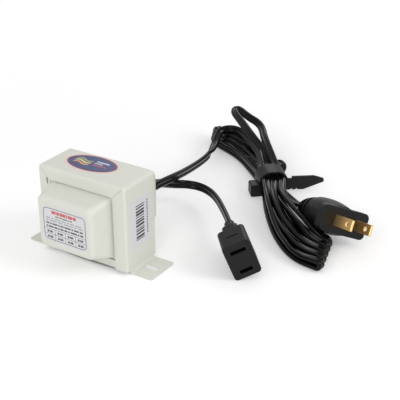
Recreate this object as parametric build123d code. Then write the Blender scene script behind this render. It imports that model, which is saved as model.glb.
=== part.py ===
"""Small plug-in autotransformer: an EI core in a folded steel strap with drawn end covers,
a corded outlet and a supply cord tied in a hank. Origin at the middle of the base, front at -Y."""
from build123d import *
from math import cos, sin, tan, radians
import os

# Core, millimetres. The laminations are cut without scrap, so they follow the tongue's width
tongue_w = 19.0
stack_t = 24.6
core_lift = 4.3
lam_corner = 0.8

# Frame strap
strap_t = 0.8
strap_fit = 0.1
bend_r = 2.0
fold_r = 1.6
side_flange_w = 8.1
top_flange_w = 7.4
flange_lift = 2.0
mitre_gap = 0.15
# Lens-shaped gap beside the upper left corner of the front opening
notch_size = (1.3, 4.4)
notch_offset = (1.9, 0.9)

# Feet
foot_end_margin = 2.7
foot_w = 21.7
foot_bend_r = 1.0
foot_corner_r = 1.6
slot_spacing = 72.0
slot_len = 9.0
slot_w = 4.2

# End covers
cover_t = 0.6
cover_fit = 0.05
dome_rise = 15.9
rear_dome_rise = 18.4
dome_side_gap = 0.9
dome_top_gap = 0.4
dome_bottom_z = 8.2
dome_side_draft = 1.9
dome_top_draft = 1.7
dome_bottom_draft = 5.0
dome_root_r = 1.6
dome_corner_r = 4.5
dome_edge_r = 3.0
lip_bottom_z = 2.4
plate_corner_r = 3.0
plate_fit = 0.1
relief_len = 6.4
relief_w = 0.9

# Coil
bobbin_fit = 0.2
bobbin_wall = 1.0
bobbin_side_fit = 1.0
bobbin_end_fit = 0.1
bobbin_overhang = 10.0
bobbin_corner_r = 4.0
common_t = 3.5
barrier_t = 0.2
series_t = 2.6
wrap_t = 0.3
winding_corner_r = 0.3
lead_d = 1.4
lead_bend_r = 1.5
lead_pitch = 1.6
lead_gap = 0.5
sleeve_d = 3.6
sleeve_len = 11.0
sleeve_pitch = 6.3
sleeve_x = -9.5
sleeve_chamfer = 0.4
seat_gap = 0.05
fuse_size = (10.0, 2.4, 4.2)
fuse_edge_r = 0.6

# Cords: flat twin cord, standing on edge where it leaves the bushing
cord_w = 5.4
cord_t = 2.7
cord_fit = 0.05
cord_spread = 3.2
cord_inner_len = 2.5
cord_straight = 10.0
cord_end_run = 9.0
bushing_x = 8.0
bushing_z = 26.8
bushing_flange_d = 12.8
bushing_flange_t = 2.2
bushing_edge_r = 0.8
bushing_neck_d = 9.4
bushing_nose_root_d = 10.8
bushing_nose_d = 9.0
bushing_nose_len = 3.0
bushing_inner_d = 11.2
bushing_inner_t = 1.6
bushing_fit = 0.05

# Plug and outlet, two flat pins
pin_spacing = 12.7
blade_w = 6.3
blade_t = 1.5
blade_len = 17.5
blade_hole_d = 3.0
blade_hole_inset = 5.2
blade_root = 9.0
blade_tip_chamfer = 0.5
blade_corner_r = 1.2
plug_face_w = 31.0
plug_face_h = 15.5
plug_face_r = 3.0
plug_face_edge_r = 0.8
plug_nose_len = 6.0
# Sections behind the face: depth, width, height and corner radius
plug_body_sections = [
    (4.5, 19.0, 16.5, 7.5),
    (10.0, 19.8, 18.8, 8.5),
    (28.0, 18.5, 19.4, 8.5),
]
plug_tail_sections = [
    (28.0, 18.0, 18.6, 8.2),
    (34.0, 17.0, 16.8, 7.6),
    (40.0, 15.0, 12.8, 5.8),
    (44.0, 11.0, 8.8, 4.0),
]
plug_rib_count = 4
plug_rib_w = 1.6
plug_rib_depth = 0.8
plug_centre = (115.4, 76.1, 17.1)
plug_yaw, plug_pitch, plug_roll = -33.5, 14.5, -24.0

outlet_w = 15.6
outlet_h = 22.0
outlet_len = 19.0
outlet_edge_r = 2.2
outlet_face_edge_r = 0.8
outlet_back_chamfer = 1.0
outlet_mark_depth = 9.5
outlet_mark_len = 7.0
outlet_mark_w = 1.0
outlet_mark_t = 0.3
outlet_slot_t = 2.2
outlet_slot_wide = 8.5
outlet_slot_narrow = 7.3
outlet_face_t = 2.5
outlet_pocket_len = 12.0
outlet_pocket_w = 9.5
outlet_pocket_t = 3.6
contact_t = 0.5
contact_fit = 0.1
outlet_collar_w = 9.0
outlet_collar_h = 18.0
outlet_collar_r = 2.0
outlet_collar_len = 6.5
outlet_tail_root_h = 10.0
outlet_tail_len = 14.0
outlet_tail_w = 5.8
outlet_tail_h = 7.4
outlet_tail_r = 2.4
outlet_xy = (83.8, 15.5)
outlet_yaw, outlet_lean = -49.9, 21.9

# Hank and its strap tie
hank_end_r = 2.5
tie_t = 1.2
tie_w = 13.0
tie_fit = 0.2
tie_head = (7.5, 8.0, 8.0)
tie_head_r = 1.0
tie_head_lap = 1.2
tie_head_shift = -2.2
tie_floor_gap = 0.3
tie_tail_len = 26.0
tie_tail_w = 7.8
tie_tail_step = 1.4
tie_tail_drop = 0.8
tie_tail_inset = 0.1
tie_tail_shift = 1.5
tie_tail_swing = -4.0
tie_tip_w = 2.2
tie_tip_r = 0.9
tie_tooth = 1.3
tie_tooth_pitch = 3.4
tie_tooth_count = 3

# Labels
label_t = 0.1
oval_size = (35.0, 21.0)
oval_xy = (-4.2, 2.4)
plate_label_size = (30.4, 21.6)
plate_label_r = 3.0
plate_label_xz = (0.3, 28.2)
side_label_size = (18.0, 28.6)
side_label_r = 0.6
side_label_yz = (-0.8, 27.6)

# Worked out from the sizes above
lam_w = 3 * tongue_w
lam_h = 2.5 * tongue_w
leg_w = tongue_w / 2
window_h = 1.5 * tongue_w
case_w = lam_w + 2 * (strap_fit + strap_t)
case_h = core_lift + lam_h + strap_fit + strap_t
case_d = stack_t + 2 * (cover_t + cover_fit + strap_t)
plate_y = case_d / 2 - strap_t
face_y = plate_y + dome_rise
rear_face_y = plate_y + rear_dome_rise
foot_len = (slot_spacing + slot_len - case_w) / 2 + foot_end_margin
window_z = core_lift + leg_w
coil_z = window_z + window_h / 2
dome_half_w = case_w / 2 - side_flange_w - dome_side_gap
dome_top_z = case_h - top_flange_w - dome_top_gap
bobbin_half_x = leg_w + bobbin_fit + bobbin_wall
bobbin_half_y = stack_t / 2 + bobbin_fit + bobbin_wall
coil_h = window_h - 2 * (bobbin_end_fit + bobbin_wall)
wrap_y = bobbin_half_y + common_t + barrier_t + series_t + wrap_t

# Routes of the cords' free stretches: straight out of the bushing, then down to the surface
supply_x = bushing_x + cord_spread / 2
outlet_cord_x = bushing_x - cord_spread / 2
inner_y = rear_face_y - cord_inner_len
straight_y = rear_face_y + cord_straight
supply_route = [
    (supply_x, inner_y, bushing_z),
    (supply_x, straight_y, bushing_z),
    (8.5, 60.4, 23.8),
    (5.6, 76.0, 20.0),
    (2.0, 91.8, 16.4),
    (-2.0, 109.0, 12.9),
    (-6.0, 124.4, 10.2),
    (-10.6, 138.4, 9.0),
    (-14.2, 148.2, 9.8),
    (-16.8, 156.2, 12.2),
    (-18.2, 162.0, 14.2),
]
outlet_route = [
    (outlet_cord_x, inner_y, bushing_z),
    (outlet_cord_x, straight_y, bushing_z),
    (5.7, 52.6, 23.2),
    (5.0, 60.5, 19.4),
    (5.4, 69.0, 15.6),
    (9.6, 76.0, 13.8),
    (17.4, 79.2, 12.8),
    (25.8, 77.4, 12.0),
    (33.4, 72.2, 11.8),
    (41.0, 64.8, 12.0),
]
plug_route = [
    (47.0, 117.5, 8.5),
    (55.0, 113.8, 6.0),
    (63.6, 109.4, 4.5),
]

# Hank stations: middle of the section, direction of the bundle, width, underside and top
tie_station = ((45.6, 119.4), 131, 16.2, 1.6, 15.4)
hank_stations = [
    ((-31.0, 179.5), 134, 12.0, 0.5, 8.0),
    ((-24.0, 176.5), 134, 22.0, 0.5, 11.0),
    ((-9.0, 170.5), 134, 29.0, 0.5, 14.0),
    ((16.0, 148.5), 134, 22.0, 0.7, 15.0),
    tie_station,
    ((57.0, 104.5), 129, 17.0, 0.7, 15.0),
    ((69.4, 86.0), 130, 20.0, 0.5, 13.6),
    ((88.5, 65.0), 140, 26.0, 0.5, 12.0),
    ((104.5, 54.5), 152, 22.0, 0.5, 9.5),
    ((113.0, 51.0), 156, 14.0, 0.5, 7.0),
]
standing_loop = [
    (24.0, 145.0, 9.0),
    (9.0, 156.4, 17.5),
    (-3.4, 164.5, 22.5),
    (-14.4, 170.4, 25.2),
    (-11.8, 176.8, 25.8),
    (-1.6, 173.2, 25.2),
    (8.6, 168.8, 21.4),
    (17.4, 160.2, 14.6),
    (27.5, 149.0, 9.0),
]
standing_loop_d = 4.4


def along_y(sketch, y_from, y_to):
    """Extrude a sketch drawn in X and Z from one Y to another."""
    plane = Plane(origin=(0, y_from, 0), x_dir=(1, 0, 0), z_dir=(0, -1, 0))
    return extrude(plane * sketch, y_from - y_to)


def corner_notch():
    """Lens through the front flange and the cover behind it, beside the upper left corner."""
    x = side_flange_w - case_w / 2 - notch_offset[0]
    z = case_h - top_flange_w - notch_offset[1]
    lens = Pos(x, z) * Ellipse(notch_size[0] / 2, notch_size[1] / 2)
    return along_y(lens, -case_d, -plate_y + 2 * cover_t)


def frame_strap():
    """Top, sides, feet and flanges, folded from one sheet."""

    def skin(inset):
        width, depth = case_w - 2 * inset, case_d - 2 * inset
        height = case_h - inset + strap_t
        body = Pos(0, 0, case_h - inset - height / 2) * Box(width, depth, height)
        top = body.edges().filter_by(Axis.Y).group_by(Axis.Z)[-1]
        body = fillet(top, bend_r - inset)
        for side in (0, -1):
            rim = body.faces().filter_by(Axis.Y).sort_by(Axis.Y)[side].edges()
            rim = rim.filter_by(lambda e: e.center().Z > 0)
            body = fillet(rim, fold_r - inset)
        return body

    strap = skin(0) - skin(strap_t)
    opening_w = case_w - 2 * side_flange_w
    opening_h = case_h - top_flange_w
    strap -= Pos(0, 0, opening_h / 2 - strap_t) * Box(opening_w, 2 * case_d, opening_h + 2 * strap_t)
    strap -= Pos(0, 0, -case_h / 2 + flange_lift) * Box(2 * case_w, 2 * case_d, case_h)

    # Mitred seams at the four upper corners of the flanges
    seam_len = (top_flange_w - fold_r / 2) / cos(radians(45))
    cut = Box(seam_len + 2 * mitre_gap, 2 * strap_t, mitre_gap)
    for sx in (1, -1):
        seam = Rot(0, -45 * sx, 0) * Pos(sx * (seam_len / 2 - mitre_gap), 0, 0) * cut
        for sy in (1, -1):
            strap -= Pos(sx * opening_w / 2, sy * (case_d - strap_t) / 2, opening_h) * seam
    strap -= corner_notch()

    # Lower ends of the sides turn outwards into the feet
    for sx in (1, -1):
        outer_x = case_w / 2
        profile = make_face(
            Polyline(
                (outer_x - strap_t, flange_lift),
                (outer_x, flange_lift),
                (outer_x, strap_t),
                (outer_x + foot_len, strap_t),
                (outer_x + foot_len, 0),
                (outer_x - strap_t, 0),
                close=True,
            )
        )
        inside = profile.vertices().sort_by_distance((outer_x, strap_t, 0))[0]
        profile = fillet(inside, foot_bend_r)
        outside = profile.vertices().sort_by_distance((outer_x - strap_t, 0, 0))[0]
        profile = fillet(outside, foot_bend_r + strap_t)
        foot = along_y(profile, -foot_w / 2, foot_w / 2)
        tips = foot.edges().filter_by(Axis.Z).group_by(Axis.X)[-1]
        foot = fillet(tips, foot_corner_r)
        slot = extrude(SlotOverall(slot_len, slot_w), strap_t * 2, both=True)
        foot -= Pos(slot_spacing / 2, 0, 0) * slot
        strap += foot if sx > 0 else foot.mirror(Plane.YZ)
    return strap


def dome(inset, y_root, y_face):
    """Drawn bulge of a cover, from its root at the plate to its face, towards -Y."""
    sketches = []
    for y, share, corner_r in ((y_root, 0, dome_root_r), (y_face, 1, dome_corner_r)):
        half_w = dome_half_w - inset - share * dome_side_draft
        top = dome_top_z - inset - share * dome_top_draft
        bottom = dome_bottom_z + inset + share * dome_bottom_draft
        plane = Plane(origin=(0, -y, (top + bottom) / 2), x_dir=(1, 0, 0), z_dir=(0, -1, 0))
        sketches.append(plane * RectangleRounded(2 * half_w, top - bottom, corner_r - inset))
    body = loft(sketches)
    rim = body.faces().sort_by(Axis.Y)[0].edges()
    return fillet(rim, dome_edge_r - inset)


def cover(y_face):
    """Cover facing -Y: flat plate behind the flanges, drawn dome and lower lip."""
    half_w = case_w / 2 - fold_r - plate_fit
    top = case_h - fold_r - plate_fit
    outline = Pos(0, (top + lip_bottom_z) / 2) * Rectangle(2 * half_w, top - lip_bottom_z)
    outline = fillet(outline.vertices().group_by(Axis.Y)[-1], plate_corner_r)
    shell = along_y(outline, -plate_y, -plate_y + cover_t)
    shell += dome(0, plate_y, y_face)
    shell -= dome(cover_t, plate_y - cover_t, y_face - cover_t)
    for sx in (1, -1):
        relief = Pos(sx * (dome_half_w - relief_len / 2 + relief_w), dome_bottom_z - relief_w) * SlotOverall(
            relief_len, relief_w
        )
        shell -= along_y(relief, -plate_y - strap_t, -plate_y + 2 * cover_t)
    return shell


def front_cover():
    """Cover behind the front flanges, open at the notch."""
    return cover(face_y) - corner_notch()


def rear_cover():
    """A deeper cover turned round, with the hole for the cord bushing."""
    shell = Rot(0, 0, 180) * cover(rear_face_y)
    hole = Pos(bushing_x, rear_face_y, bushing_z) * Rot(90, 0, 0) * Cylinder(
        bushing_neck_d / 2 + bushing_fit, 4 * cover_t
    )
    return shell - hole


def e_laminations():
    """E laminations, back at the bottom and legs up."""
    height = lam_h - leg_w
    outline = Pos(0, core_lift + height / 2) * Rectangle(lam_w, height)
    outline = chamfer(outline.vertices().group_by(Axis.Y)[0], lam_corner)
    for sx in (1, -1):
        outline -= Pos(sx * tongue_w * 0.75, window_z + window_h / 2) * Rectangle(leg_w, window_h)
    return along_y(outline, -stack_t / 2, stack_t / 2)


def i_laminations():
    """I laminations closing the window above the legs."""
    outline = Pos(0, core_lift + lam_h - leg_w / 2) * Rectangle(lam_w, leg_w)
    outline = chamfer(outline.vertices().group_by(Axis.Y)[-1], lam_corner)
    return along_y(outline, -stack_t / 2, stack_t / 2)


def ring(half_x, half_y, thickness, height, grown):
    """Rectangular wound layer around the centre leg; grown is what lies below it."""
    corner_r = winding_corner_r + grown
    inner = RectangleRounded(2 * half_x, 2 * half_y, corner_r)
    outer = RectangleRounded(2 * (half_x + thickness), 2 * (half_y + thickness), corner_r + thickness)
    return Pos(0, 0, coil_z - height / 2) * extrude(outer - inner, height)


def bobbin():
    """Moulded former: tube on the centre leg between two flanges."""
    height = window_h - 2 * bobbin_end_fit
    core = Rectangle(2 * (leg_w + bobbin_fit), stack_t + 2 * bobbin_fit)
    tube = RectangleRounded(2 * bobbin_half_x, 2 * bobbin_half_y, winding_corner_r)
    flange = RectangleRounded(
        2 * (tongue_w - bobbin_side_fit), stack_t + 2 * bobbin_overhang, bobbin_corner_r
    )
    body = Pos(0, 0, coil_z - height / 2) * extrude(tube - core, height)
    for z in (coil_z - height / 2, coil_z + height / 2 - bobbin_wall):
        body += Pos(0, 0, z) * extrude(flange - core, bobbin_wall)
    return body


def common_winding():
    return ring(bobbin_half_x, bobbin_half_y, common_t, coil_h, 0)


def winding_barrier():
    grown = common_t
    return ring(bobbin_half_x + grown, bobbin_half_y + grown, barrier_t, coil_h, grown)


def series_winding():
    grown = common_t + barrier_t
    return ring(bobbin_half_x + grown, bobbin_half_y + grown, series_t, coil_h, grown)


def winding_wrap():
    grown = common_t + barrier_t + series_t
    return ring(bobbin_half_x + grown, bobbin_half_y + grown, wrap_t, coil_h, grown)


def sleeve_place(index):
    """Left end of a splice sleeve lying against the back of the wound coil."""
    y = wrap_y + seat_gap + sleeve_d / 2
    return Vector(sleeve_x, y, coil_z + (index - 1) * sleeve_pitch)


def splice_sleeve(index):
    """Insulated splice between a winding lead and the cords."""
    start = sleeve_place(index)
    body = Cylinder(sleeve_d / 2, sleeve_len)
    body = chamfer(body.edges().filter_by(GeomType.CIRCLE), sleeve_chamfer)
    return Pos(start.X + sleeve_len / 2, start.Y, start.Z) * Rot(0, 90, 0) * body


def winding_lead(index):
    """Lead from under the upper bobbin flange, down and into its splice sleeve."""
    end = sleeve_place(index)
    x = end.X - lead_bend_r - (2 - index) * lead_pitch - lead_gap
    top = Vector(x, end.Y, coil_z + coil_h / 2)
    path = FilletPolyline(top, Vector(x, end.Y, end.Z), end, radius=lead_bend_r * 0.9)
    section = Plane(origin=top, z_dir=(0, 0, -1)) * Circle(lead_d / 2)
    return sweep(section, path=path)


def thermal_fuse():
    """Cut-out taped to the front of the coil."""
    length, thick, height = fuse_size
    body = Box(length, thick, height)
    body = fillet(body.edges().filter_by(Axis.X), fuse_edge_r)
    return Pos(0, -wrap_y - seat_gap - thick / 2, coil_z) * body


def cord_section(clearance=0.0):
    return SlotOverall(cord_w + 2 * clearance, cord_t + 2 * clearance)


def cord_bushing():
    """Flanged bushing in the rear cover, with a bore for each flat cord."""
    neck = Cylinder(bushing_neck_d / 2, cover_t, align=(Align.CENTER, Align.CENTER, Align.MAX))
    flange = Cylinder(bushing_flange_d / 2, bushing_flange_t, align=(Align.CENTER, Align.CENTER, Align.MIN))
    flange = fillet(flange.edges().group_by(Axis.Z)[-1], bushing_edge_r)
    nose = Pos(0, 0, bushing_flange_t) * Cone(
        bushing_nose_root_d / 2,
        bushing_nose_d / 2,
        bushing_nose_len,
        align=(Align.CENTER, Align.CENTER, Align.MIN),
    )
    inner = Pos(0, 0, -cover_t) * Cylinder(
        bushing_inner_d / 2, bushing_inner_t, align=(Align.CENTER, Align.CENTER, Align.MAX)
    )
    body = neck + flange + nose + inner
    for side in (1, -1):
        bore = extrude(Rot(0, 0, 90) * cord_section(cord_fit), 3 * bushing_flange_d, both=True)
        body -= Pos(side * cord_spread / 2, 0, 0) * bore
    place = Plane(origin=(bushing_x, rear_face_y, bushing_z), x_dir=(1, 0, 0), z_dir=(0, 1, 0))
    return place * body


def route_radii(points):
    """Largest even arcs that each corner of a route has room for."""
    radii = []
    for before, corner, after in zip(points, points[1:], points[2:]):
        run_in = Vector(*corner) - Vector(*before)
        run_out = Vector(*after) - Vector(*corner)
        turn = radians(run_in.get_angle(run_out))
        radii.append(0.45 * min(run_in.length, run_out.length) / tan(turn / 2))
    return radii


def cord_tube(name, points):
    """Flat cord along a route of straight runs and tangent arcs, its width upright at the start."""
    radii = route_radii(points)
    path = FilletPolyline(*points, radius=radii)
    start = Plane(origin=path @ 0, x_dir=(0, 0, 1), z_dir=path % 0)
    tube = sweep(start * cord_section(), path=path)
    ratio = tube.volume / (cord_section().area * path.length)
    print(f"{name}: length {path.length:.0f}, radii {[round(r, 1) for r in radii]}, volume ratio {ratio:.3f}")
    return tube


def plug_plane(depth=0.0):
    """Plug's own frame at a depth behind its face: X across the pins, Z out along the blades."""
    yaw, pitch, roll = radians(plug_yaw), radians(plug_pitch), radians(plug_roll)
    out = Vector(cos(pitch) * cos(yaw), cos(pitch) * sin(yaw), sin(pitch))
    level = Vector(-sin(yaw), cos(yaw), 0)
    across = level * cos(roll) + out.cross(level) * sin(roll)
    return Plane(origin=Vector(*plug_centre) - out * depth, x_dir=across, z_dir=out)


def plug_blade(side):
    """Flat brass blade with its hole, rooted in the plug."""
    body = Box(blade_t, blade_w, blade_len + blade_root, align=(Align.CENTER, Align.CENTER, Align.MIN))
    tip = body.faces().sort_by(Axis.Z)[-1].edges().filter_by(Axis.Y)
    body = chamfer(tip, blade_tip_chamfer)
    corners = body.edges().filter_by(Axis.X).group_by(Axis.Z)[-1]
    body = fillet(corners, blade_corner_r)
    hole = Pos(0, 0, blade_root + blade_len - blade_hole_inset) * Rot(0, 90, 0) * Cylinder(
        blade_hole_d / 2, 4 * blade_t
    )
    body = Pos(side * pin_spacing / 2, 0, -blade_root) * (body - hole)
    return plug_plane() * body


def plug_loft(sections, inset=0.0):
    """Smooth body through a list of plug sections."""
    return loft([
        Pos(0, 0, -depth) * RectangleRounded(width - 2 * inset, height - 2 * inset, radius - inset)
        for depth, width, height, radius in sections
    ])


def plug_body():
    """Moulded plug: flat face plate, rounded body and ribbed tail."""
    body = extrude(RectangleRounded(plug_face_w, plug_face_h, plug_face_r), -plug_nose_len)
    body = fillet(body.faces().sort_by(Axis.Z)[-1].edges(), plug_face_edge_r)
    body += plug_loft(plug_body_sections)
    tail = plug_loft(plug_tail_sections)
    root, end = plug_tail_sections[0][0], plug_tail_sections[-1][0]
    pitch = (end - root) / plug_rib_count
    slab = Box(plug_face_w, plug_face_w, plug_rib_w)
    body += plug_loft(plug_tail_sections, plug_rib_depth)
    for index in range(plug_rib_count):
        body += tail & (Pos(0, 0, -root - (index + 0.5) * pitch) * slab)
    body = plug_plane() * body
    for side in (1, -1):
        body -= plug_blade(side)
    return body


def outlet_plane(depth=0.0):
    """Outlet's own frame at a depth behind its face: X along the slots, Z out of the face."""
    yaw, lean = radians(outlet_yaw), radians(outlet_lean)
    out = Vector(cos(yaw), sin(yaw), 0)
    level = Vector(-sin(yaw), cos(yaw), 0)
    along = level * cos(lean) + Vector(0, 0, 1) * sin(lean)
    # It rests on its rounded lower edge
    half_h, half_w = outlet_h / 2 - outlet_edge_r, outlet_w / 2 - outlet_edge_r
    height = half_h * cos(lean) + half_w * sin(lean) + outlet_edge_r
    return Plane(origin=Vector(*outlet_xy, height) - out * depth, x_dir=along, z_dir=out)


def outlet_body():
    """Moulded in-line outlet: block with two blade slots, collar and cord neck."""
    block = extrude(RectangleRounded(outlet_w, outlet_h, outlet_edge_r), -outlet_len)
    block = fillet(block.faces().sort_by(Axis.Z)[-1].edges(), outlet_face_edge_r)
    block = chamfer(block.faces().sort_by(Axis.Z)[0].edges(), outlet_back_chamfer)
    # Short grip mark in the upper and lower side
    mark = Box(outlet_mark_len, 2 * outlet_mark_t, outlet_mark_w)
    for side in (1, -1):
        block -= Pos(0, side * outlet_h / 2, -outlet_mark_depth) * mark
    collar_z = -outlet_len - outlet_collar_len
    collar = RectangleRounded(outlet_collar_w, outlet_collar_h, outlet_collar_r)
    body = block + Pos(0, 0, collar_z) * extrude(collar, outlet_collar_len)
    body += loft([
        Pos(0, 0, collar_z) * RectangleRounded(outlet_collar_w - outlet_tail_r, outlet_tail_root_h, outlet_tail_r),
        Pos(0, 0, collar_z - outlet_tail_len) * RectangleRounded(outlet_tail_w, outlet_tail_h, outlet_tail_r),
    ])
    for side, slot_width in ((1, outlet_slot_wide), (-1, outlet_slot_narrow)):
        y = side * pin_spacing / 2
        body -= Pos(0, y, 0) * extrude(Rectangle(slot_width, outlet_slot_t), -outlet_face_t, both=True)
        pocket = extrude(Rectangle(outlet_pocket_w, outlet_pocket_t), -outlet_pocket_len)
        body -= Pos(0, y, -outlet_face_t) * pocket
    return outlet_plane() * body


def outlet_contact(side):
    """Folded brass contact: two leaves on a web, filling its pocket."""
    width, thick = outlet_pocket_w - 2 * contact_fit, outlet_pocket_t - 2 * contact_fit
    length = outlet_pocket_len - 2 * contact_fit
    clip = extrude(Rectangle(width, thick), -length)
    clip -= extrude(Rectangle(2 * width, thick - 2 * contact_t), -(length - contact_t))
    return outlet_plane() * Pos(0, side * pin_spacing / 2, -outlet_face_t - contact_fit) * clip


def hank_plane(station):
    """Upright section plane of the hank at a station: X to its left, Y up."""
    (x, y), heading, width, underside, top = station
    out = Vector(cos(radians(heading)), sin(radians(heading)), 0)
    across = Vector(-out.Y, out.X, 0)
    return Plane(origin=(x, y, (underside + top) / 2), x_dir=across, z_dir=out)


def supply_cord_hank():
    """Outer shape of the tied bundle: fans at both ends, waist at the tie, one loop standing up."""
    sections = []
    for station in hank_stations:
        width, height = station[2], station[4] - station[3]
        sections.append(hank_plane(station) * RectangleRounded(width, height, 0.45 * min(width, height)))
    body = loft(sections)
    ends = body.faces().filter_by(GeomType.PLANE)
    body = fillet(ends.edges(), hank_end_r)
    path = FilletPolyline(*standing_loop, radius=route_radii(standing_loop))
    start = Plane(origin=path @ 0, z_dir=path % 0)
    body += sweep(start * Circle(standing_loop_d / 2), path=path)
    return body


def cable_tie():
    """Strap round the hank's waist, with its head and toothed tail."""
    hank_w, hank_bottom, hank_top = tie_station[2:]
    width, height = hank_w + 2 * tie_fit, hank_top - hank_bottom + 2 * tie_fit
    inner_r = 0.45 * min(width, height)
    band = RectangleRounded(width + 2 * tie_t, height + 2 * tie_t, inner_r + tie_t)
    band -= RectangleRounded(width, height, inner_r)
    body = extrude(band, tie_w / 2, both=True)
    # The head and the tail stand on the surface at either side
    underside = tie_floor_gap - (hank_bottom + hank_top) / 2
    head = Box(*tie_head)
    head = fillet(head.edges().filter_by(Axis.Z), tie_head_r)
    head_x = (width + tie_head[0]) / 2 - tie_head_lap
    body += Pos(head_x, underside + tie_head[1] / 2, tie_head_shift) * head
    outline = make_face(
        Polyline(
            (0, 0),
            (0, tie_tail_w),
            (tie_tail_len / 5, tie_tail_w),
            (tie_tail_len / 5, tie_tail_w + tie_tail_step),
            (tie_tail_len * 3 / 4, tie_tail_w + tie_tail_step),
            (tie_tail_len, tie_tail_w - tie_tail_drop),
            (tie_tail_len, tie_tail_w - tie_tail_drop - tie_tip_w),
            (tie_tail_len / 2, 0),
            close=True,
        )
    )
    outline = fillet(outline.vertices().group_by(Axis.X)[-1], tie_tip_r)
    for index in range(tie_tooth_count):
        outline -= Pos((index + 0.5) * tie_tooth_pitch, 0) * Rot(0, 0, 45) * Rectangle(tie_tooth, tie_tooth)
    tail = Rot(0, 180 + tie_tail_swing, 0) * extrude(outline, tie_t / 2, both=True)
    body += Pos(-width / 2 - tie_tail_inset, underside, tie_tail_shift) * tail
    return hank_plane(tie_station) * body


def oval_label():
    """Oval sticker on the top panel."""
    return Pos(*oval_xy, case_h) * extrude(Ellipse(oval_size[0] / 2, oval_size[1] / 2), label_t)


def nameplate_label():
    """Rating sticker on the face of the front cover."""
    sketch = Pos(*plate_label_xz) * RectangleRounded(*plate_label_size, plate_label_r)
    return along_y(sketch, -face_y, -face_y - label_t)


def barcode_label():
    """Sticker on the right side of the strap."""
    plane = Plane(origin=(case_w / 2, *side_label_yz), x_dir=(0, 1, 0), z_dir=(1, 0, 0))
    return extrude(plane * RectangleRounded(*side_label_size, side_label_r), label_t)


def outlet_cord():
    """Cord from the bushing to the outlet's neck, which it enters straight."""
    length = outlet_len + outlet_collar_len + outlet_tail_len
    ends = [outlet_plane(length + run).origin for run in (cord_end_run, 0)]
    return cord_tube("outlet_cord", outlet_route + [tuple(end) for end in ends])


def supply_cord_plug_end():
    """Last stretch of the supply cord, from the hank straight into the plug's tail."""
    length = plug_tail_sections[-1][0]
    ends = [plug_plane(length + run).origin for run in (cord_end_run, 0)]
    return cord_tube("supply_cord_plug_end", plug_route + [tuple(end) for end in ends])


pieces = {
    "frame_strap": frame_strap(),
    "front_cover": front_cover(),
    "rear_cover": rear_cover(),
    "e_laminations": e_laminations(),
    "i_laminations": i_laminations(),
    "bobbin": bobbin(),
    "common_winding": common_winding(),
    "winding_barrier": winding_barrier(),
    "series_winding": series_winding(),
    "winding_wrap": winding_wrap(),
    "thermal_fuse": thermal_fuse(),
    "cord_bushing": cord_bushing(),
    "supply_cord": cord_tube("supply_cord", supply_route),
    "supply_cord_hank": supply_cord_hank(),
    "supply_cord_plug_end": supply_cord_plug_end(),
    "cable_tie": cable_tie(),
    "plug_body": plug_body(),
    "plug_blade_near": plug_blade(-1),
    "plug_blade_far": plug_blade(1),
    "outlet_cord": outlet_cord(),
    "outlet_body": outlet_body(),
    "outlet_contact_wide": outlet_contact(1),
    "outlet_contact_narrow": outlet_contact(-1),
    "oval_label": oval_label(),
    "nameplate_label": nameplate_label(),
    "barcode_label": barcode_label(),
}
for index, name in enumerate(("common", "tap", "line")):
    pieces[f"{name}_lead"] = winding_lead(index)
    pieces[f"{name}_splice_sleeve"] = splice_sleeve(index)

os.makedirs("parts", exist_ok=True)
for name, piece in pieces.items():
    export_step(piece, f"parts/{name}.step")
    box = piece.bounding_box()
    print(f"{name}: {box.size.X:.1f} x {box.size.Y:.1f} x {box.size.Z:.1f}, lowest {box.min.Z:.2f}")
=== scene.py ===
# %% [markdown]
# # A small plug-in autotransformer
# The object is an iron-cored transformer in a painted steel case. A short flat cord with an outlet
# and a longer one with a plug leave its back, and the longer cord is folded in a hank under a tie.
# The solid model is loaded first and stays where it is. This file adds what a solid can't show well:
# the cords with all their folds, the printing on the labels, the finishes, the light and the camera.

import math
from typing import NamedTuple

import bmesh
import bpy
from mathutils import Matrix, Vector


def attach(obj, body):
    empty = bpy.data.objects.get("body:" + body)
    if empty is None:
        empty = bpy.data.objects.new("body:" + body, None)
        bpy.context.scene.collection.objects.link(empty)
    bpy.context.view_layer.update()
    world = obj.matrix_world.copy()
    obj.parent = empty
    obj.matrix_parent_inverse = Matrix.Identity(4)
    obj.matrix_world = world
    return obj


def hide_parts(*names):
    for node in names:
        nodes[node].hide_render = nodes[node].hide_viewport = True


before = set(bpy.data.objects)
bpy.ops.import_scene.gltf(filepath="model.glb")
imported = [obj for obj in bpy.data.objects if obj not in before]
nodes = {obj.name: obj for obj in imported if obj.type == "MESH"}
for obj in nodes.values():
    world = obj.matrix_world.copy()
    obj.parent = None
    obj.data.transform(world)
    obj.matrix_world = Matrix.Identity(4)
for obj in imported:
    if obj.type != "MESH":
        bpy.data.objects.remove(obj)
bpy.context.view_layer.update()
MM = 0.001
print("nodes loaded:", len(nodes))

# %% [markdown]
# ## Camera
# The photograph was taken from the right, a little above the object, through a long lens. A camera in
# Blender looks along its own -Z axis, so it is turned up from straight down by ninety degrees less its
# tilt, and then turned about the vertical.

# %% Camera at the photograph's angle
camera_place = Vector((289.6, -352.2, 261.2)) * MM
camera_tilt_down = 26.80
camera_turn = 32.29
camera_lens = 82.57

camera_data = bpy.data.cameras.new("camera")
camera_data.lens = camera_lens
camera_data.sensor_width = 36.0
camera_data.clip_start = 0.01
camera = bpy.data.objects.new("camera", camera_data)
camera.location = camera_place
camera.rotation_euler = (math.radians(90 - camera_tilt_down), 0, math.radians(camera_turn))
bpy.context.scene.collection.objects.link(camera)
bpy.context.scene.camera = camera
print("camera at", tuple(round(v, 3) for v in camera.location))

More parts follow.
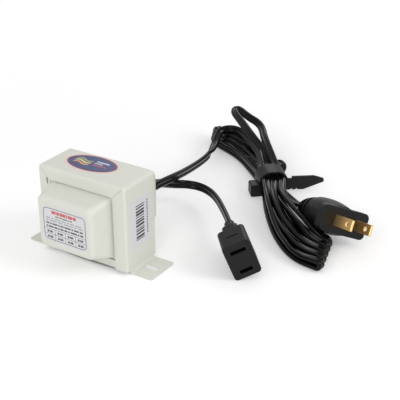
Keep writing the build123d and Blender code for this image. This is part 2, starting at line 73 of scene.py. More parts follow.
# %% [markdown]
# ## Node helpers
# Each finish below is a small graph of shader nodes. Four short helpers keep the graphs readable. One
# starts a material and hands back its main shader. One adds a node and fills its inputs, by a value or
# by a link from another node. The other two blend two colours and stretch a value to a range.

# %% Helpers for shader graphs
# A Mix node keeps its colour sockets behind those for numbers and vectors
mix_first, mix_second, mix_result = 6, 7, 2


def start_material(name):
    """New material with its Principled shader."""
    material = bpy.data.materials.new(name)
    material.use_nodes = True
    return material, material.node_tree, material.node_tree.nodes["Principled BSDF"]


def add_node(tree, kind, inputs=None, **settings):
    """Add a node, set its options, and fill its inputs with values or links."""
    node = tree.nodes.new(kind)
    for key, value in settings.items():
        setattr(node, key, value)
    for key, value in (inputs or {}).items():
        if isinstance(value, bpy.types.NodeSocket):
            tree.links.new(value, node.inputs[key])
        else:
            node.inputs[key].default_value = value
    return node


def colour_blend(tree, factor, first, second):
    """Mix two colours by a factor socket."""
    node = add_node(tree, "ShaderNodeMix", {"Factor": factor}, data_type="RGBA")
    node.inputs[mix_first].default_value = (*first, 1.0)
    node.inputs[mix_second].default_value = (*second, 1.0)
    return node.outputs[mix_result]


def value_range(tree, value, low, high, start=0.0, end=1.0):
    """Map a value between start and end to the range from low to high."""
    inputs = {"Value": value, "From Min": start, "From Max": end, "To Min": low, "To Max": high}
    return add_node(tree, "ShaderNodeMapRange", inputs).outputs["Result"]


print("helpers ready")

# %% [markdown]
# ## Surface grain, a shared effect
# Sprayed paint, moulded vinyl and printed film all have a fine unevenness, at different scales. It is
# made once as a node group from two noise textures, and each finish places it with its own scale. The
# group reads the object's own coordinates in metres, so the grain has a real size.

# %% Shared group: surface grain
grain_depth = 0.1 * MM


def surface_grain_group():
    """Group with a fine noise as a height for the bump and a broad one as a mask of blotches."""
    group = bpy.data.node_groups.new("surface_grain", "ShaderNodeTree")
    sockets = (("Scale", "INPUT"), ("Blotch Scale", "INPUT"), ("Height", "OUTPUT"), ("Blotch", "OUTPUT"))
    for name, side in sockets:
        group.interface.new_socket(name, in_out=side, socket_type="NodeSocketFloat")
    entry = group.nodes.new("NodeGroupInput")
    leave = group.nodes.new("NodeGroupOutput")
    place = add_node(group, "ShaderNodeTexCoord").outputs["Object"]
    for scale, detail, result in (("Scale", 3.0, "Height"), ("Blotch Scale", 2.0, "Blotch")):
        inputs = {"Vector": place, "Scale": entry.outputs[scale], "Detail": detail}
        noise = add_node(group, "ShaderNodeTexNoise", inputs)
        group.links.new(noise.outputs["Fac"], leave.inputs[result])
    return group


surface_grain = surface_grain_group()


def add_grain(tree, shader, scale, blotch_scale, strength):
    """Place the grain group, bump the surface with it and return its blotch output."""
    scales = {"Scale": scale, "Blotch Scale": blotch_scale}
    grain = add_node(tree, "ShaderNodeGroup", scales, node_tree=surface_grain)
    inputs = {"Height": grain.outputs["Height"], "Strength": strength, "Distance": grain_depth}
    bump = add_node(tree, "ShaderNodeBump", inputs)
    tree.links.new(bump.outputs["Normal"], shader.inputs["Normal"])
    return grain.outputs["Blotch"]


print("group:", surface_grain.name)

# %% [markdown]
# ## Finishes
# A finish is a base colour with a slight drift over the surface, a roughness that drifts with it, and
# the grain as a bump. One function makes that for paint, vinyl, brass and the pieces inside the case,
# and the colours are written as they look in plain light, save the contacts in the outlet, whose brass
# is darkened as painted shade of its slots.

# %% Function for a drifting finish
def drifting_finish(name, dark, light, rough, grain, blotch, strength, metal=0.0, shine=0.5):
    """Material that drifts between two colours and two roughnesses, with a fine grain."""
    material, tree, shader = start_material(name)
    drift = add_grain(tree, shader, grain, blotch, strength)
    tree.links.new(colour_blend(tree, drift, dark, light), shader.inputs["Base Color"])
    tree.links.new(value_range(tree, drift, rough[0], rough[1]), shader.inputs["Roughness"])
    shader.inputs["Metallic"].default_value = metal
    shader.inputs["Specular IOR Level"].default_value = shine
    return material


def dress(material, *names):
    """Give solid-model nodes a material."""
    for name in names:
        slots = nodes[name].data.materials
        slots.clear()
        slots.append(material)


print("finish function ready")

# %% Finishes of the case, the cords and the pieces on them
case_paint = drifting_finish(
    "case_paint", (0.683, 0.688, 0.620), (0.745, 0.750, 0.682),
    rough=(0.42, 0.52), grain=2600.0, blotch=35.0, strength=0.12,
)
cord_vinyl = drifting_finish(
    "cord_vinyl", (0.002, 0.002, 0.002), (0.004, 0.004, 0.004),
    rough=(0.17, 0.23), grain=2200.0, blotch=60.0, strength=0.08, shine=0.17,
)
moulded_vinyl = drifting_finish(
    "moulded_vinyl", (0.002, 0.002, 0.002), (0.005, 0.005, 0.005),
    rough=(0.36, 0.45), grain=3200.0, blotch=80.0, strength=0.20, shine=0.26,
)
tie_nylon = drifting_finish(
    "tie_nylon", (0.003, 0.003, 0.003), (0.007, 0.007, 0.007),
    rough=(0.42, 0.55), grain=1800.0, blotch=90.0, strength=0.2, shine=0.28,
)
blade_brass = drifting_finish(
    "blade_brass", (0.82, 0.54, 0.22), (0.95, 0.66, 0.30),
    rough=(0.38, 0.50), grain=3500.0, blotch=160.0, strength=0.1, metal=1.0,
)
# The contacts lie deep in the outlet; their brass is painted near black as painted shade of the slots,
# with a dull roughness, so its slots stay dark
contact_painted_shade = drifting_finish(
    "contact_painted_shade", (0.05, 0.035, 0.015), (0.09, 0.06, 0.03),
    rough=(0.5, 0.6), grain=3500.0, blotch=160.0, strength=0.1, metal=1.0,
)

dress(case_paint, "frame_strap", "front_cover", "rear_cover")
dress(moulded_vinyl, "plug_body", "outlet_body", "cord_bushing")
dress(tie_nylon, "cable_tie")
dress(blade_brass, "plug_blade_near", "plug_blade_far")
# The contacts carry painted shade: their dark brass stands for the shade inside the outlet's slots
dress(contact_painted_shade, "outlet_contact_wide", "outlet_contact_narrow")
print("finishes:", len(bpy.data.materials))

# %% Finishes of the pieces inside the case
core_steel = drifting_finish(
    "core_steel", (0.16, 0.15, 0.14), (0.26, 0.25, 0.24),
    rough=(0.45, 0.6), grain=1500.0, blotch=60.0, strength=0.2, metal=0.8,
)
copper_wire = drifting_finish(
    "copper_wire", (0.42, 0.14, 0.06), (0.58, 0.22, 0.10),
    rough=(0.3, 0.4), grain=1800.0, blotch=90.0, strength=0.2, metal=0.9,
)
bobbin_nylon = drifting_finish(
    "bobbin_nylon", (0.62, 0.59, 0.50), (0.70, 0.68, 0.60),
    rough=(0.45, 0.55), grain=1500.0, blotch=60.0, strength=0.1,
)
insulation_tape = drifting_finish(
    "insulation_tape", (0.55, 0.40, 0.07), (0.65, 0.48, 0.10),
    rough=(0.25, 0.35), grain=900.0, blotch=50.0, strength=0.1,
)

dress(core_steel, "e_laminations", "i_laminations")
dress(copper_wire, "common_winding", "series_winding")
dress(bobbin_nylon, "bobbin", "thermal_fuse")
dress(insulation_tape, "winding_barrier", "winding_wrap")
for circuit in ("common", "tap", "line"):
    dress(moulded_vinyl, f"{circuit}_lead", f"{circuit}_splice_sleeve")
print("finishes:", len(bpy.data.materials))

# %% [markdown]
# ## Flat twin cord
# Both cords are flat twin cord: two conductors side by side in one black jacket, with a groove between
# them. A round bevel on a curve would lose that, so the cord is a mesh: its line is a smooth NURBS curve
# with the given route points as its controls, Blender turns the curve into points, and a two-lobed
# section is carried along them. From ring to ring the section keeps its sense and leans slowly towards
# the one that is wanted there, such as on edge or lying flat, as a real flat cord does.

# %% Line of a cord and its two-lobed section
cord_thick = 2.7 * MM
groove_depth = 0.5 * MM
# The groove's shoulders, as shares of a lobe's radius to the side and up
groove_half = 0.35
shoulder_height = 0.94
section_steps = 10


def smooth_line(name, route):
    """Points along a NURBS curve that has the route's points as its controls, in metres."""
    data = bpy.data.curves.new(name, "CURVE")
    data.dimensions = "3D"
    data.resolution_u = 5
    spline = data.splines.new("NURBS")
    spline.points.add(len(route) - 1)
    for point, place in zip(spline.points, route):
        point.co = (*[value * MM for value in place], 1.0)
    spline.order_u = 3
    spline.use_endpoint_u = True
    holder = bpy.data.objects.new(name, data)
    bpy.context.scene.collection.objects.link(holder)
    bpy.context.view_layer.update()
    mesh = bpy.data.meshes.new_from_object(holder)
    line = [vertex.co.copy() for vertex in mesh.vertices]
    bpy.data.objects.remove(holder)
    bpy.data.meshes.remove(mesh)
    return line


def line_length(line):
    """Length of a line of points."""
    return sum((b - a).length for a, b in zip(line, line[1:]))


def twin_section():
    """Outline of the flat twin cord: a half round at each side and a groove above and below."""
    lobe = cord_thick / 2
    shoulder = (groove_half * lobe, shoulder_height * lobe)
    right = [(shoulder[0], -shoulder[1])]
    for index in range(section_steps + 1):
        angle = math.radians(-90 + 180 * index / section_steps)
        right.append((lobe + lobe * math.cos(angle), lobe * math.sin(angle)))
    right.append(shoulder)
    left = [(-x, y) for x, y in reversed(right)]
    groove = lobe - groove_depth
    return right + [(0.0, groove)] + left + [(0.0, -groove)]


print("section points:", len(twin_section()))

# %% Rings of a flat cord
up = Vector((0, 0, 1))
# A wanted sense that is shorter than this, square to the cord, says too little to turn it
clear_sense = 0.5


def on_edge(place, along, travelled):
    """Sense of a cord that stands on edge all along: its width points up."""
    return up


def cord_rings(line, sense, lean):
    """Corners of the section at each point of a line; lean is the share of the wanted turn made there."""
    outline = twin_section()
    rings = []
    travelled = 0.0
    across = up
    for index, place in enumerate(line):
        ahead = line[min(index + 1, len(line) - 1)]
        behind = line[max(index - 1, 0)]
        along = (ahead - behind).normalized()
        if index:
            travelled += (place - line[index - 1]).length
        across = (across - along * across.dot(along)).normalized()
        wanted = sense(place, along, travelled)
        wanted = wanted - along * wanted.dot(along)
        if wanted.length > clear_sense:
            wanted = wanted if wanted.dot(across) > 0 else -wanted
            across = across.lerp(wanted.normalized(), lean).normalized()
        across = (across - along * across.dot(along)).normalized()
        over = along.cross(across)
        rings.append([place + across * u + over * v for u, v in outline])
    return rings


print("half the width of a ring:", round(max(u for u, v in twin_section()) / MM, 2), "mm")

# %% Mesh of a flat cord
def add_piece(name, mesh, material):
    """Turn a bmesh into a piece of the part, with its material."""
    data = bpy.data.meshes.new(name)
    mesh.to_mesh(data)
    mesh.free()
    data.materials.append(material)
    piece = bpy.data.objects.new(name, data)
    bpy.context.scene.collection.objects.link(piece)
    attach(piece, "root")
    return piece


def flat_cord(name, line, sense, lean):
    """Closed tube of the twin section along a line."""
    mesh = bmesh.new()
    rings = [[mesh.verts.new(corner) for corner in ring] for ring in cord_rings(line, sense, lean)]
    for ring, following in zip(rings, rings[1:]):
        for index in range(len(ring)):
            near = (index + 1) % len(ring)
            mesh.faces.new((ring[index], ring[near], following[near], following[index]))
    mesh.faces.new(rings[0])
    mesh.faces.new(reversed(rings[-1]))
    bmesh.ops.recalc_face_normals(mesh, faces=mesh.faces)
    for face in mesh.faces:
        face.smooth = True
    return add_piece(name, mesh, cord_vinyl)


print("cord function ready")

# %% [markdown]
# ## Outlet cord
# It leaves the bushing beside the supply cord, dips under it, and turns to the outlet in front. The
# points are those of the solid model's route, in millimetres.

# %% Outlet cord
bushing_x = 8.0
bushing_z = 26.8
cord_spread = 3.2
case_back = 31.35
cord_inner = 2.5
cord_straight = 10.0
outlet_centre = Vector((83.8, 15.5, 12.453))
outlet_heading = math.radians(-49.9)
outlet_axis = Vector((math.cos(outlet_heading), math.sin(outlet_heading), 0))
outlet_neck_depth = 39.5
cord_end_run = 9.0

outlet_exit_x = bushing_x - cord_spread / 2
outlet_route = [
    (outlet_exit_x, case_back - cord_inner, bushing_z),
    (outlet_exit_x, case_back + cord_straight, bushing_z),
    (5.7, 52.6, 23.2),
    (5.0, 60.5, 19.4),
    (5.4, 69.0, 15.6),
    (9.6, 76.0, 13.8),
    (17.4, 79.2, 12.8),
    (25.8, 77.4, 12.0),
    (33.4, 72.2, 11.8),
    (41.0, 64.8, 12.0),
    tuple(outlet_centre - outlet_axis * (outlet_neck_depth + cord_end_run)),
    tuple(outlet_centre - outlet_axis * outlet_neck_depth),
]
outlet_line = smooth_line("outlet_cord_line", outlet_route)
outlet_lead = flat_cord("outlet_lead", outlet_line, on_edge, lean=0.12)
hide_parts("outlet_cord")
print("outlet cord length", round(line_length(outlet_line), 3))

# %% [markdown]
# ## Supply cord and its hank
# The supply cord goes from the bushing to the far end of the hank, runs to and fro through the tie, and
# ends in the plug. At each end of the hank the runs spread in a fan. A fan is written as a few lines
# across it, and a run takes a share of each line. Each fold is a hairpin: the cord turns over on itself
# and goes back under or over its own run. A short table lists the loops in the order in which the cord
# makes them.

# %% Lines across the fans, and the tie
class FanLine(NamedTuple):
    """Line across a fan: its middle, its direction, half its length, and the height of the upper runs."""
    middle: Vector
    across: Vector
    half: float
    top: float = 0.0

    def at(self, share):
        """Place on the line; share goes from -1 at one edge of the fan to 1 at the other."""
        return self.middle + self.across.normalized() * (self.half * share)


# The near neck lies beside the tie, whose rows give its heights
near_neck = FanLine(Vector((61.7, 93.5)), Vector((0.55, 0.80)), 4.6)
near_middle = FanLine(Vector((83.7, 72.7)), Vector((0.58, 0.81)), 9.2, 7.6)
near_outer = FanLine(Vector((98.7, 61.7)), Vector((0.08, 1.0)), 12.8, 6.4)
near_end = FanLine(Vector((107.1, 58.2)), Vector((-0.25, 1.0)), 11.3, 7.2)
far_neck = FanLine(Vector((28.6, 137.0)), Vector((0.755, 0.656)), 4.5, 9.5)
far_outer = FanLine(Vector((7.1, 154.9)), Vector((0.755, 0.656)), 4.0, 8.8)
far_end = FanLine(Vector((-22.0, 166.6)), Vector((-0.41, 0.91)), 4.8, 8.8)
near_outwards = Vector((1.0, -0.1)).normalized()
far_outwards = Vector((-0.85, 0.53)).normalized()
near_reach = 5.6
far_reach = 6.0
low_run = 1.9
# The upper runs at one edge of a fan lie higher than those at the other by twice this
near_step = 1.2
far_step = 2.4

tie_middle = Vector((45.6, 119.4))
tie_along = Vector((-0.656, 0.755))
tie_across = Vector((0.755, 0.656))
tie_half_len = 8.0
tie_column = 4.9
tie_row = 3.1
tie_lowest = 3.2


def tie_height(row):
    """Height of a row of runs in the tie."""
    return tie_lowest + tie_row * row


print("tie rows at", [round(tie_height(row), 1) for row in range(4)])

# %% Points of a run in the tie, in a fan and in a fold
def in_tie(column, row, side):
    """Point of a run at the tie's near mouth (side -1) or far mouth (side 1)."""
    point = tie_middle + tie_along * (side * tie_half_len) + tie_across * (tie_column * column)
    return (point.x, point.y, tie_height(row))


def in_fan(line, share, height):
    """Point of a run on one of the lines across a fan."""
    point = line.at(share)
    return (point.x, point.y, height)


def fold(line, share, outwards, reach, first, second):
    """Round hairpin at the end of a fan, from the first height to the second."""
    root = line.at(share)
    radius = (first - second) / 2
    centre = (first + second) / 2
    # Corners of half an octagon with a side before and after it; the curve rounds them to half a circle
    short = math.tan(math.radians(22.5))
    points = []
    for out, rise in ((-short, 1), (short, 1), (1, short), (1, -short), (short, -1), (-short, -1)):
        point = root + outwards * (reach + (out - 1) * abs(radius))
        points.append((point.x, point.y, centre + rise * radius))
    return points


print("points of a fold:", len(fold(near_end, 0.0, near_outwards, near_reach, near_end.top, low_run)))

# %% Stretches beside the fans
supply_exit_x = bushing_x + cord_spread / 2
# From the bushing to the far end of the hank, and over the far fan to the tie
supply_route = [
    (supply_exit_x, case_back - cord_inner, bushing_z),
    (supply_exit_x, case_back + cord_straight, bushing_z),
    (8.5, 60.4, 23.8),
    (5.6, 76.0, 20.0),
    (2.0, 91.8, 16.4),
    (-2.0, 109.0, 12.9),
    (-6.0, 124.4, 10.2),
    (-10.6, 138.4, 9.0),
    (-14.2, 148.2, 9.8),
    (-16.8, 156.2, 12.2),
    (-17.4, 160.7, 13.6),
    (-16.6, 165.9, 13.6),
    (-11.7, 169.3, 13.6),
    (-4.4, 166.8, 14.0),
    (11.9, 153.0, 14.4),
    (26.2, 139.6, 14.2),
]
# Long loop that stands up above the far fan
standing_loop = [
    (28.9, 141.3, 15.2),
    (14.6, 150.2, 19.4),
    (-1.8, 163.4, 22.6),
    (-15.6, 174.6, 24.6),
    (-16.2, 181.6, 24.6),
    (-2.6, 173.4, 23.2),
    (6.4, 171.0, 21.8),
    (12.9, 165.9, 20.4),
    (20.7, 154.6, 19.2),
    (30.8, 143.3, 16.6),
]
# Short loop that stands out at the right, just behind the tie
tie_bulge = [
    (38.0, 136.8, 3.4),
    (35.4, 141.4, 6.8),
    (39.6, 141.0, 11.4),
    (46.4, 134.8, 11.6),
]
print("highest point of the standing loop:", max(place[2] for place in standing_loop), "mm")

# %% Loops of the hank
# One loop each: shares in the middle and at the end of the near fan, tie places (column, row) of the
# run out and the run back, and at the far side a share of the fan or the points of a loop of its own
loops = [
    (-1.0, -1.0, (-1, 3), (-1, 0), -1.0),
    (-0.7, -0.5, (-1, 2), (-1, 1), 0.0),
    (-0.3, 0.0, (0, 3), (0, 0), 1.0),
    (0.6, 0.5, (0, 2), (0, 1), standing_loop),
    (1.0, 1.0, (1, 3), (1, 0), tie_bulge),
]


def near_loop(middle_share, share, out_tie, back_tie):
    """Out of the tie along the top of the near fan, round the hairpin and back along the surface."""
    stretch = ((near_middle, middle_share), (near_outer, share))
    rise = near_step * share
    points = [in_tie(*out_tie, 1), in_tie(*out_tie, -1)]
    points.append(in_fan(near_neck, middle_share, tie_height(out_tie[1])))
    points += [in_fan(line, part, line.top + rise) for line, part in stretch]
    points += fold(near_end, share, near_outwards, near_reach, near_end.top + rise, low_run)
    points += [in_fan(line, part, low_run) for line, part in reversed(stretch)]
    points.append(in_fan(near_neck, middle_share, tie_height(back_tie[1])))
    return points + [in_tie(*back_tie, -1), in_tie(*back_tie, 1)]


def far_loop(share):
    """Along the surface to the far end, round the hairpin and back on top of the other runs."""
    rise = far_step * share
    points = [in_fan(line, share, low_run) for line in (far_neck, far_outer)]
    points += fold(far_end, share, far_outwards, far_reach, low_run, far_end.top + rise / 2)
    points += [in_fan(line, share, line.top + rise) for line in (far_outer, far_neck)]
    return points


def hank_route():
    """Points of all the loops, in the order in which the cord makes them."""
    points = []
    for middle_share, end_share, out_tie, back_tie, far in loops:
        points += near_loop(middle_share, end_share, out_tie, back_tie)
        points += far if isinstance(far, list) else far_loop(far)
    return points


print("loops", len(loops), "with", len(hank_route()), "points")

# %% Line of the whole supply cord
plug_centre = Vector((115.4, 76.1, 17.1))
plug_yaw = math.radians(-33.5)
plug_pitch = math.radians(14.5)
plug_axis = Vector((
    math.cos(plug_pitch) * math.cos(plug_yaw),
    math.cos(plug_pitch) * math.sin(plug_yaw),
    math.sin(plug_pitch),
))
plug_depth = 44.0

last_run = [
    in_tie(1, 1, 1),
    in_tie(1, 1, -1),
    (55.0, 113.8, 6.0),
    (63.6, 109.4, 4.5),
    tuple(plug_centre - plug_axis * (plug_depth + cord_end_run)),
    tuple(plug_centre - plug_axis * plug_depth),
]
whole_route = supply_route + hank_route() + last_run
supply_line = smooth_line("supply_cord_line", whole_route)
print("route points", len(whole_route), "supply cord length", round(line_length(supply_line), 3))

# %% Supply cord
# The cord stands on edge for this length from its end in the bushing, and then lies down
supply_on_edge = 105.0 * MM
# Behind this distance and above this height, the runs turn their wide side to the front
loop_start = 130.0 * MM
loop_level = 13.0 * MM
loop_facing = Vector((0.46, -0.80, 0.38))
# In the near fan the upper runs lean over, from the tie to where they turn down into their folds
fan_start = 105.0 * MM
fan_level = 4.5 * MM
fan_from = 45.0 * MM
fan_to = 90.0 * MM
fan_facing = Vector((0.55, 0.60, 0.58))


def wide_side(place):
    """Direction that the wide side of the cord faces in the hank; it is up where a run lies flat."""
    if place.z > loop_level and place.y > loop_start:
        return loop_facing
    if place.z > fan_level and place.y < fan_start and fan_from < place.x < fan_to:
        return fan_facing
    return up


def lying_in_hank(place, along, travelled):
    """Sense of the supply cord: on edge at first, and then square to the way its wide side faces."""
    return up if travelled < supply_on_edge else along.cross(wide_side(place))


supply_lead = flat_cord("supply_lead", supply_line, lying_in_hank, lean=0.3)
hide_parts("supply_cord", "supply_cord_hank", "supply_cord_plug_end")
print("supply cord rings", len(supply_line))

# %% [markdown]
# ## Printed labels
# The stickers are thin solids of the model. Their printing is made as flat patches lying on them, each
# a hair proud, because crisp edges need no texture. Rows of small bars stand for lines of text, and the
# oval carries three plain waves. All places on a label are in millimetres.

# %% Helpers for flat patches on a label
axis_x = Vector((1, 0, 0))
axis_y = Vector((0, 1, 0))
label_thick = 0.1
proud = 0.03
# An ink drifts to a slightly darker tone, and its roughness to both sides of the stated one
ink_dark_share = 0.94
ink_rough_drift = 0.04


def flat_colour(name, colour, rough):
    """Printed film or ink, with hardly any grain."""
    dark = tuple(ink_dark_share * value for value in colour)
    roughs = (rough - ink_rough_drift, rough + ink_rough_drift)
    return drifting_finish(name, dark, colour, roughs, grain=1500.0, blotch=120.0, strength=0.05)


def patches(name, origin, right, upwards, outlines, material):
    """Flat patches on a label: outlines are lists of (right, up) corners."""
    mesh = bmesh.new()
    for outline in outlines:
        corners = [mesh.verts.new((origin + right * u + upwards * v) * MM) for u, v in outline]
        mesh.faces.new(corners)
    return add_piece(name, mesh, material)


def bar(left, low, width, height):
    """Corners of an upright rectangle."""
    return [(left, low), (left + width, low), (left + width, low + height), (left, low + height)]


print("label helpers ready")

# %% Colours of the stickers
sticker_film = flat_colour("sticker_film", (0.72, 0.72, 0.74), 0.4)
oval_film = flat_colour("oval_film", (0.82, 0.66, 0.63), 0.3)
ink_blue = flat_colour("ink_blue", (0.052, 0.070, 0.200), 0.36)
ink_red = flat_colour("ink_red", (0.62, 0.14, 0.14), 0.35)
ink_rust = flat_colour("ink_rust", (0.25, 0.065, 0.10), 0.36)
ink_white = flat_colour("ink_white", (0.70, 0.70, 0.76), 0.35)
ink_green = flat_colour("ink_green", (0.36, 0.40, 0.16), 0.35)
ink_yellow = flat_colour("ink_yellow", (0.70, 0.62, 0.34), 0.35)
ink_orange = flat_colour("ink_orange", (0.72, 0.34, 0.16), 0.35)
ink_grey = flat_colour("ink_grey", (0.09, 0.09, 0.10), 0.4)
ink_pale = flat_colour("ink_pale", (0.40, 0.40, 0.42), 0.4)
ink_black = flat_colour("ink_black", (0.02, 0.02, 0.02), 0.4)
dress(oval_film, "oval_label")
dress(sticker_film, "nameplate_label", "barcode_label")
print("finishes:", len(bpy.data.materials))

# %% Oval sticker on the top
case_top = 52.7
oval_centre = Vector((-4.2, 2.4, case_top + label_thick))
oval_half = (17.5, 10.5)
ring_share = (0.915, 0.855)
field_share = (0.852, 0.765)
# Bars of text start at one left edge; each has its lower edge, width and height
oval_text_left = 1.0
white_bars = ((2.6, 8.5, 1.3), (0.6, 5.5, 0.9))
red_bar = (-1.6, 9.5, 0.9)
wave_left = -11.5
wave_right = -1.0
wave_pitch = 2.2
wave_height = 0.9
wave_thick = 1.5
oval_lift = up * proud


def oval(share_x, share_y, steps=72):
    """Oval that takes a share of the sticker's half length and half width."""
    turns = [2 * math.pi * index / steps for index in range(steps)]
    return [(oval_half[0] * share_x * math.cos(a), oval_half[1] * share_y * math.sin(a)) for a in turns]


def wave_band(middle, steps=24):
    """Band that follows one wave, as its lower edge and then its upper edge."""
    upper, lower = [], []
    for index in range(steps + 1):
        x = wave_left + (wave_right - wave_left) * index / steps
        y = middle + wave_height * math.sin(2 * math.pi * index / steps)
        upper.append((x, y + wave_thick / 2))
        lower.append((x, y - wave_thick / 2))
    return lower + upper[::-1]


def print_oval(name, layer, outlines, ink):
    """Print on the oval sticker, one layer above another."""
    patches(name, oval_centre + oval_lift * layer, axis_x, axis_y, outlines, ink)


print_oval("oval_ring", 1, [oval(*ring_share)], ink_rust)
print_oval("oval_field", 2, [oval(*field_share)], ink_blue)
print_oval("oval_bars", 3, [bar(oval_text_left, *size) for size in white_bars], ink_white)
print_oval("oval_red_bar", 3, [bar(oval_text_left, *red_bar)], ink_red)
for colour, ink, row in (("green", ink_green, 1), ("yellow", ink_yellow, 0), ("orange", ink_orange, -1)):
    print_oval(f"oval_wave_{colour}", 3, [wave_band(wave_pitch * row)], ink)
print("oval sticker printed")

# %% Helpers for the rating sticker
def round_rectangle(half_x, half_y, radius, steps=6):
    """Corners of a rectangle with round corners."""
    points = []
    for turn, (sx, sy) in enumerate(((1, 1), (-1, 1), (-1, -1), (1, -1))):
        for index in range(steps + 1):
            angle = math.radians(90 * turn + 90 * index / steps)
            x = sx * (half_x - radius) + radius * math.cos(angle)
            y = sy * (half_y - radius) + radius * math.sin(angle)
            points.append((x, y))
    return points


def border(half_x, half_y, radius, thick):
    """Frame line made of short four-cornered pieces between two rounded rectangles."""
    outer = round_rectangle(half_x, half_y, radius)
    inner = round_rectangle(half_x - thick, half_y - thick, radius - thick)
    pieces = []
    for index in range(len(outer)):
        near = (index + 1) % len(outer)
        pieces.append([outer[index], outer[near], inner[near], inner[index]])
    return pieces


def text_row(left, width, low, height, lengths, gap=0.5):
    """Row of bars in place of words; lengths and gap are in parts of the row's width."""
    row = []
    at = left
    total = sum(lengths) + gap * (len(lengths) - 1)
    for length in lengths:
        row.append(bar(at, low, length * width / total, height))
        at += (length + gap) * width / total
    return row


def text_rows(rows):
    """Bars of several rows."""
    return [word for row in rows for word in text_row(*row)]


print("sticker helpers ready")

# %% Rating sticker on the front cover
cover_face = -28.85
plate_centre = Vector((0.3, cover_face - label_thick, 28.2))
plate_half = (14.3, 9.65)
plate_corner = 2.6
border_thick = 0.35
rule_thick = 0.22
table_left, table_wide = -13.9, 27.8
table_low, table_tall = -9.3, 6.2
table_rules = (-3.1, -6.2)
table_columns = (-6.9, 0.1, 7.0)
cell_starts = (-12.2, -5.2, 1.8, 8.6)
cell_rows = (-5.2, -8.4)
cell_tall = 1.2
short_word, long_word, word_pitch = 1.3, 2.0, 1.7
# One row of text each: left edge, width, lower edge, height and the lengths of its words
pale_rows = (
    (-12.4, 24.0, 3.3, 0.7, (2, 1, 3, 2, 1, 2, 3)),
    (-12.4, 25.0, 1.9, 0.7, (1, 3, 2, 4, 1, 2)),
)
dark_rows = (
    (-6.0, 11.5, 5.0, 0.6, (3, 2, 4, 1, 2)),
    (-12.6, 25.0, 0.0, 0.9, (2, 1, 3, 1, 2, 4, 1, 3, 2)),
    (-12.6, 25.2, -2.0, 1.0, (1, 3, 2, 1, 2, 2, 1, 4, 1, 2)),
)
band_row = (-8.4, 16.6, 6.5, 1.9, (3, 2, 4, 1, 3, 2))
band_gap = 0.35


def print_plate(name, outlines, ink):
    """Print on the rating sticker."""
    patches(name, plate_centre - axis_y * proud, axis_x, up, outlines, ink)


plate_lines = border(*plate_half, plate_corner, border_thick)
plate_lines += [bar(table_left, low, table_wide, rule_thick) for low in table_rules]
plate_lines += [bar(left, table_low, rule_thick, table_tall) for left in table_columns]
print_plate("plate_rules", plate_lines, ink_grey)
print_plate("plate_pale_text", text_rows(pale_rows), ink_pale)
plate_text = text_rows(dark_rows)
for start in cell_starts:
    plate_text += [bar(start, low, short_word, cell_tall) for low in cell_rows]
    plate_text += [bar(start + word_pitch, low, long_word, cell_tall) for low in cell_rows]
print_plate("plate_text", plate_text, ink_grey)
print_plate("plate_band", text_row(*band_row, gap=band_gap), ink_red)
print("bars of dark text on the rating sticker:", len(plate_text))

# %% Barcode sticker on the right side
case_side = 29.4
side_place = Vector((case_side + label_thick + proud, 0, 0))
code_low, code_high = 17.5, 38.5
code_left, code_wide = -4.6, 7.4
stripe_thin, stripe_more = 0.55, 0.75
gap_thin, gap_more = 0.55, 0.45
digit_left, digit_low, digit_pitch = 5.2, 18.6, 1.5
digit_wide, digit_tall, digit_count = 1.0, 0.9, 14

stripes = []
height = code_low
step = 0
# The stripes take four thicknesses and the gaps three, in turns that look uneven
while height < code_high:
    thick = stripe_thin + stripe_more * ((step * 7) % 4) / 3
    stripes.append(bar(code_left, height, code_wide, thick))
    height += thick + gap_thin + gap_more * ((step * 5) % 3) / 2
    step += 1
patches("barcode_stripes", side_place, axis_y, up, stripes, ink_black)
digit_places = [digit_low + digit_pitch * index for index in range(digit_count)]
digits = [bar(digit_left, low, digit_wide, digit_tall) for low in digit_places]
patches("barcode_digits", side_place, axis_y, up, digits, ink_grey)
print("stripes", len(stripes))

# %% [markdown]
# ## Floor and light
# The photograph has a white background with soft grey shadows. The floor is white, and where the camera
# looks at it directly it glows a little, more so away from the object, so that it comes out white while
# the shadows stay. The light is a bright even sky with three soft lamps, the strongest at the right, and
# a panel behind the object.

# %% Floor
floor_size = 20.0

floor_mesh = bmesh.new()
bmesh.ops.create_grid(floor_mesh, x_segments=1, y_segments=1, size=floor_size / 2)
floor_data = bpy.data.meshes.new("floor")
floor_mesh.to_mesh(floor_data)
floor_mesh.free()
floor = bpy.data.objects.new("floor", floor_data)
bpy.context.scene.collection.objects.link(floor)
print("floor", floor_size, "m")

# %% Paint of the floor
floor_white = 0.86
# Strengths of the glow near the case and far from it, and the distances between which it grows, in metres
glow_near, glow_far = 0.25, 0.50
glow_start, glow_end = 0.15, 1.20
# Under the case the floor doesn't glow inside an oval of these halves, so the foot slots show it in shade
shaded_half = (0.043, 0.012)

floor_paint, tree, shader = start_material("floor_paint")
shader.inputs["Base Color"].default_value = (floor_white, floor_white, floor_white, 1)
shader.inputs["Roughness"].default_value = 1.0
shader.inputs["Specular IOR Level"].default_value = 0.0
shader.inputs["Emission Color"].default_value = (1, 1, 1, 1)


def floor_number(operation, first, second):
    """Result of a Math node in the floor's graph."""
    return add_node(tree, "ShaderNodeMath", {0: first, 1: second}, operation=operation).outputs["Value"]


def floor_distance(place):
    """Length of a vector in the floor's graph."""
    return add_node(tree, "ShaderNodeVectorMath", {0: place}, operation="LENGTH").outputs["Value"]


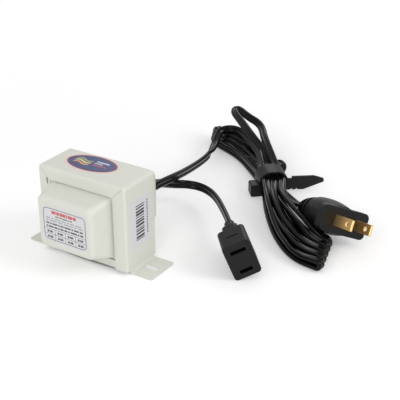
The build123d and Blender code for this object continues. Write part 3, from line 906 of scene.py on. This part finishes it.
ray = add_node(tree, "ShaderNodeLightPath").outputs
mirrored = floor_number("MAXIMUM", ray["Is Glossy Ray"], ray["Is Transmission Ray"])
seen = floor_number("MAXIMUM", ray["Is Camera Ray"], mirrored)
floor_place = add_node(tree, "ShaderNodeTexCoord").outputs["Object"]
glow_here = value_range(tree, floor_distance(floor_place), glow_near, glow_far, glow_start, glow_end)
shares = (1 / shaded_half[0], 1 / shaded_half[1], 0)
share_place = add_node(tree, "ShaderNodeVectorMath", {0: floor_place, 1: shares}, operation="MULTIPLY")
in_open = floor_number("GREATER_THAN", floor_distance(share_place.outputs["Vector"]), 1.0)
glow = floor_number("MULTIPLY", floor_number("MULTIPLY", seen, glow_here), in_open)
tree.links.new(glow, shader.inputs["Emission Strength"])
floor_data.materials.append(floor_paint)
print("nodes in the floor's paint:", len(tree.nodes))

# %% Sky and lamps
sky_strength = 0.645

world = bpy.data.worlds.new("sky")
bpy.context.scene.world = world
world.use_nodes = True
sky = world.node_tree.nodes["Background"]
sky.inputs["Color"].default_value = (1, 1, 1, 1)
sky.inputs["Strength"].default_value = sky_strength


def soft_lamp(name, place, target, size, power):
    """Round area lamp that shines from a place towards a target."""
    lamp = bpy.data.lights.new(name, "AREA")
    lamp.shape = "DISK"
    lamp.size = size
    lamp.energy = power
    holder = bpy.data.objects.new(name, lamp)
    holder.location = place
    holder.rotation_euler = (Vector(target) - Vector(place)).to_track_quat("-Z", "Y").to_euler()
    bpy.context.scene.collection.objects.link(holder)
    return holder


soft_lamp("right_lamp", (1.10, 0.25, 0.75), (0.03, 0.06, 0.0), size=0.6, power=4.6)
soft_lamp("front_lamp", (0.40, -1.10, 0.55), (0.0, 0.0, 0.02), size=0.6, power=3.7)
soft_lamp("left_lamp", (-0.30, -1.00, 0.70), (0.0, 0.0, 0.02), size=0.6, power=1.3)
# A bright panel behind gives the black pieces their sheen; it is left out of the diffuse light
back_panel = soft_lamp("back_panel", (-0.45, 0.98, 0.62), (0.05, 0.06, 0.0), size=0.36, power=1.2)
back_panel.visible_diffuse = False
bpy.context.scene.view_settings.view_transform = "Standard"
print("lamps set")
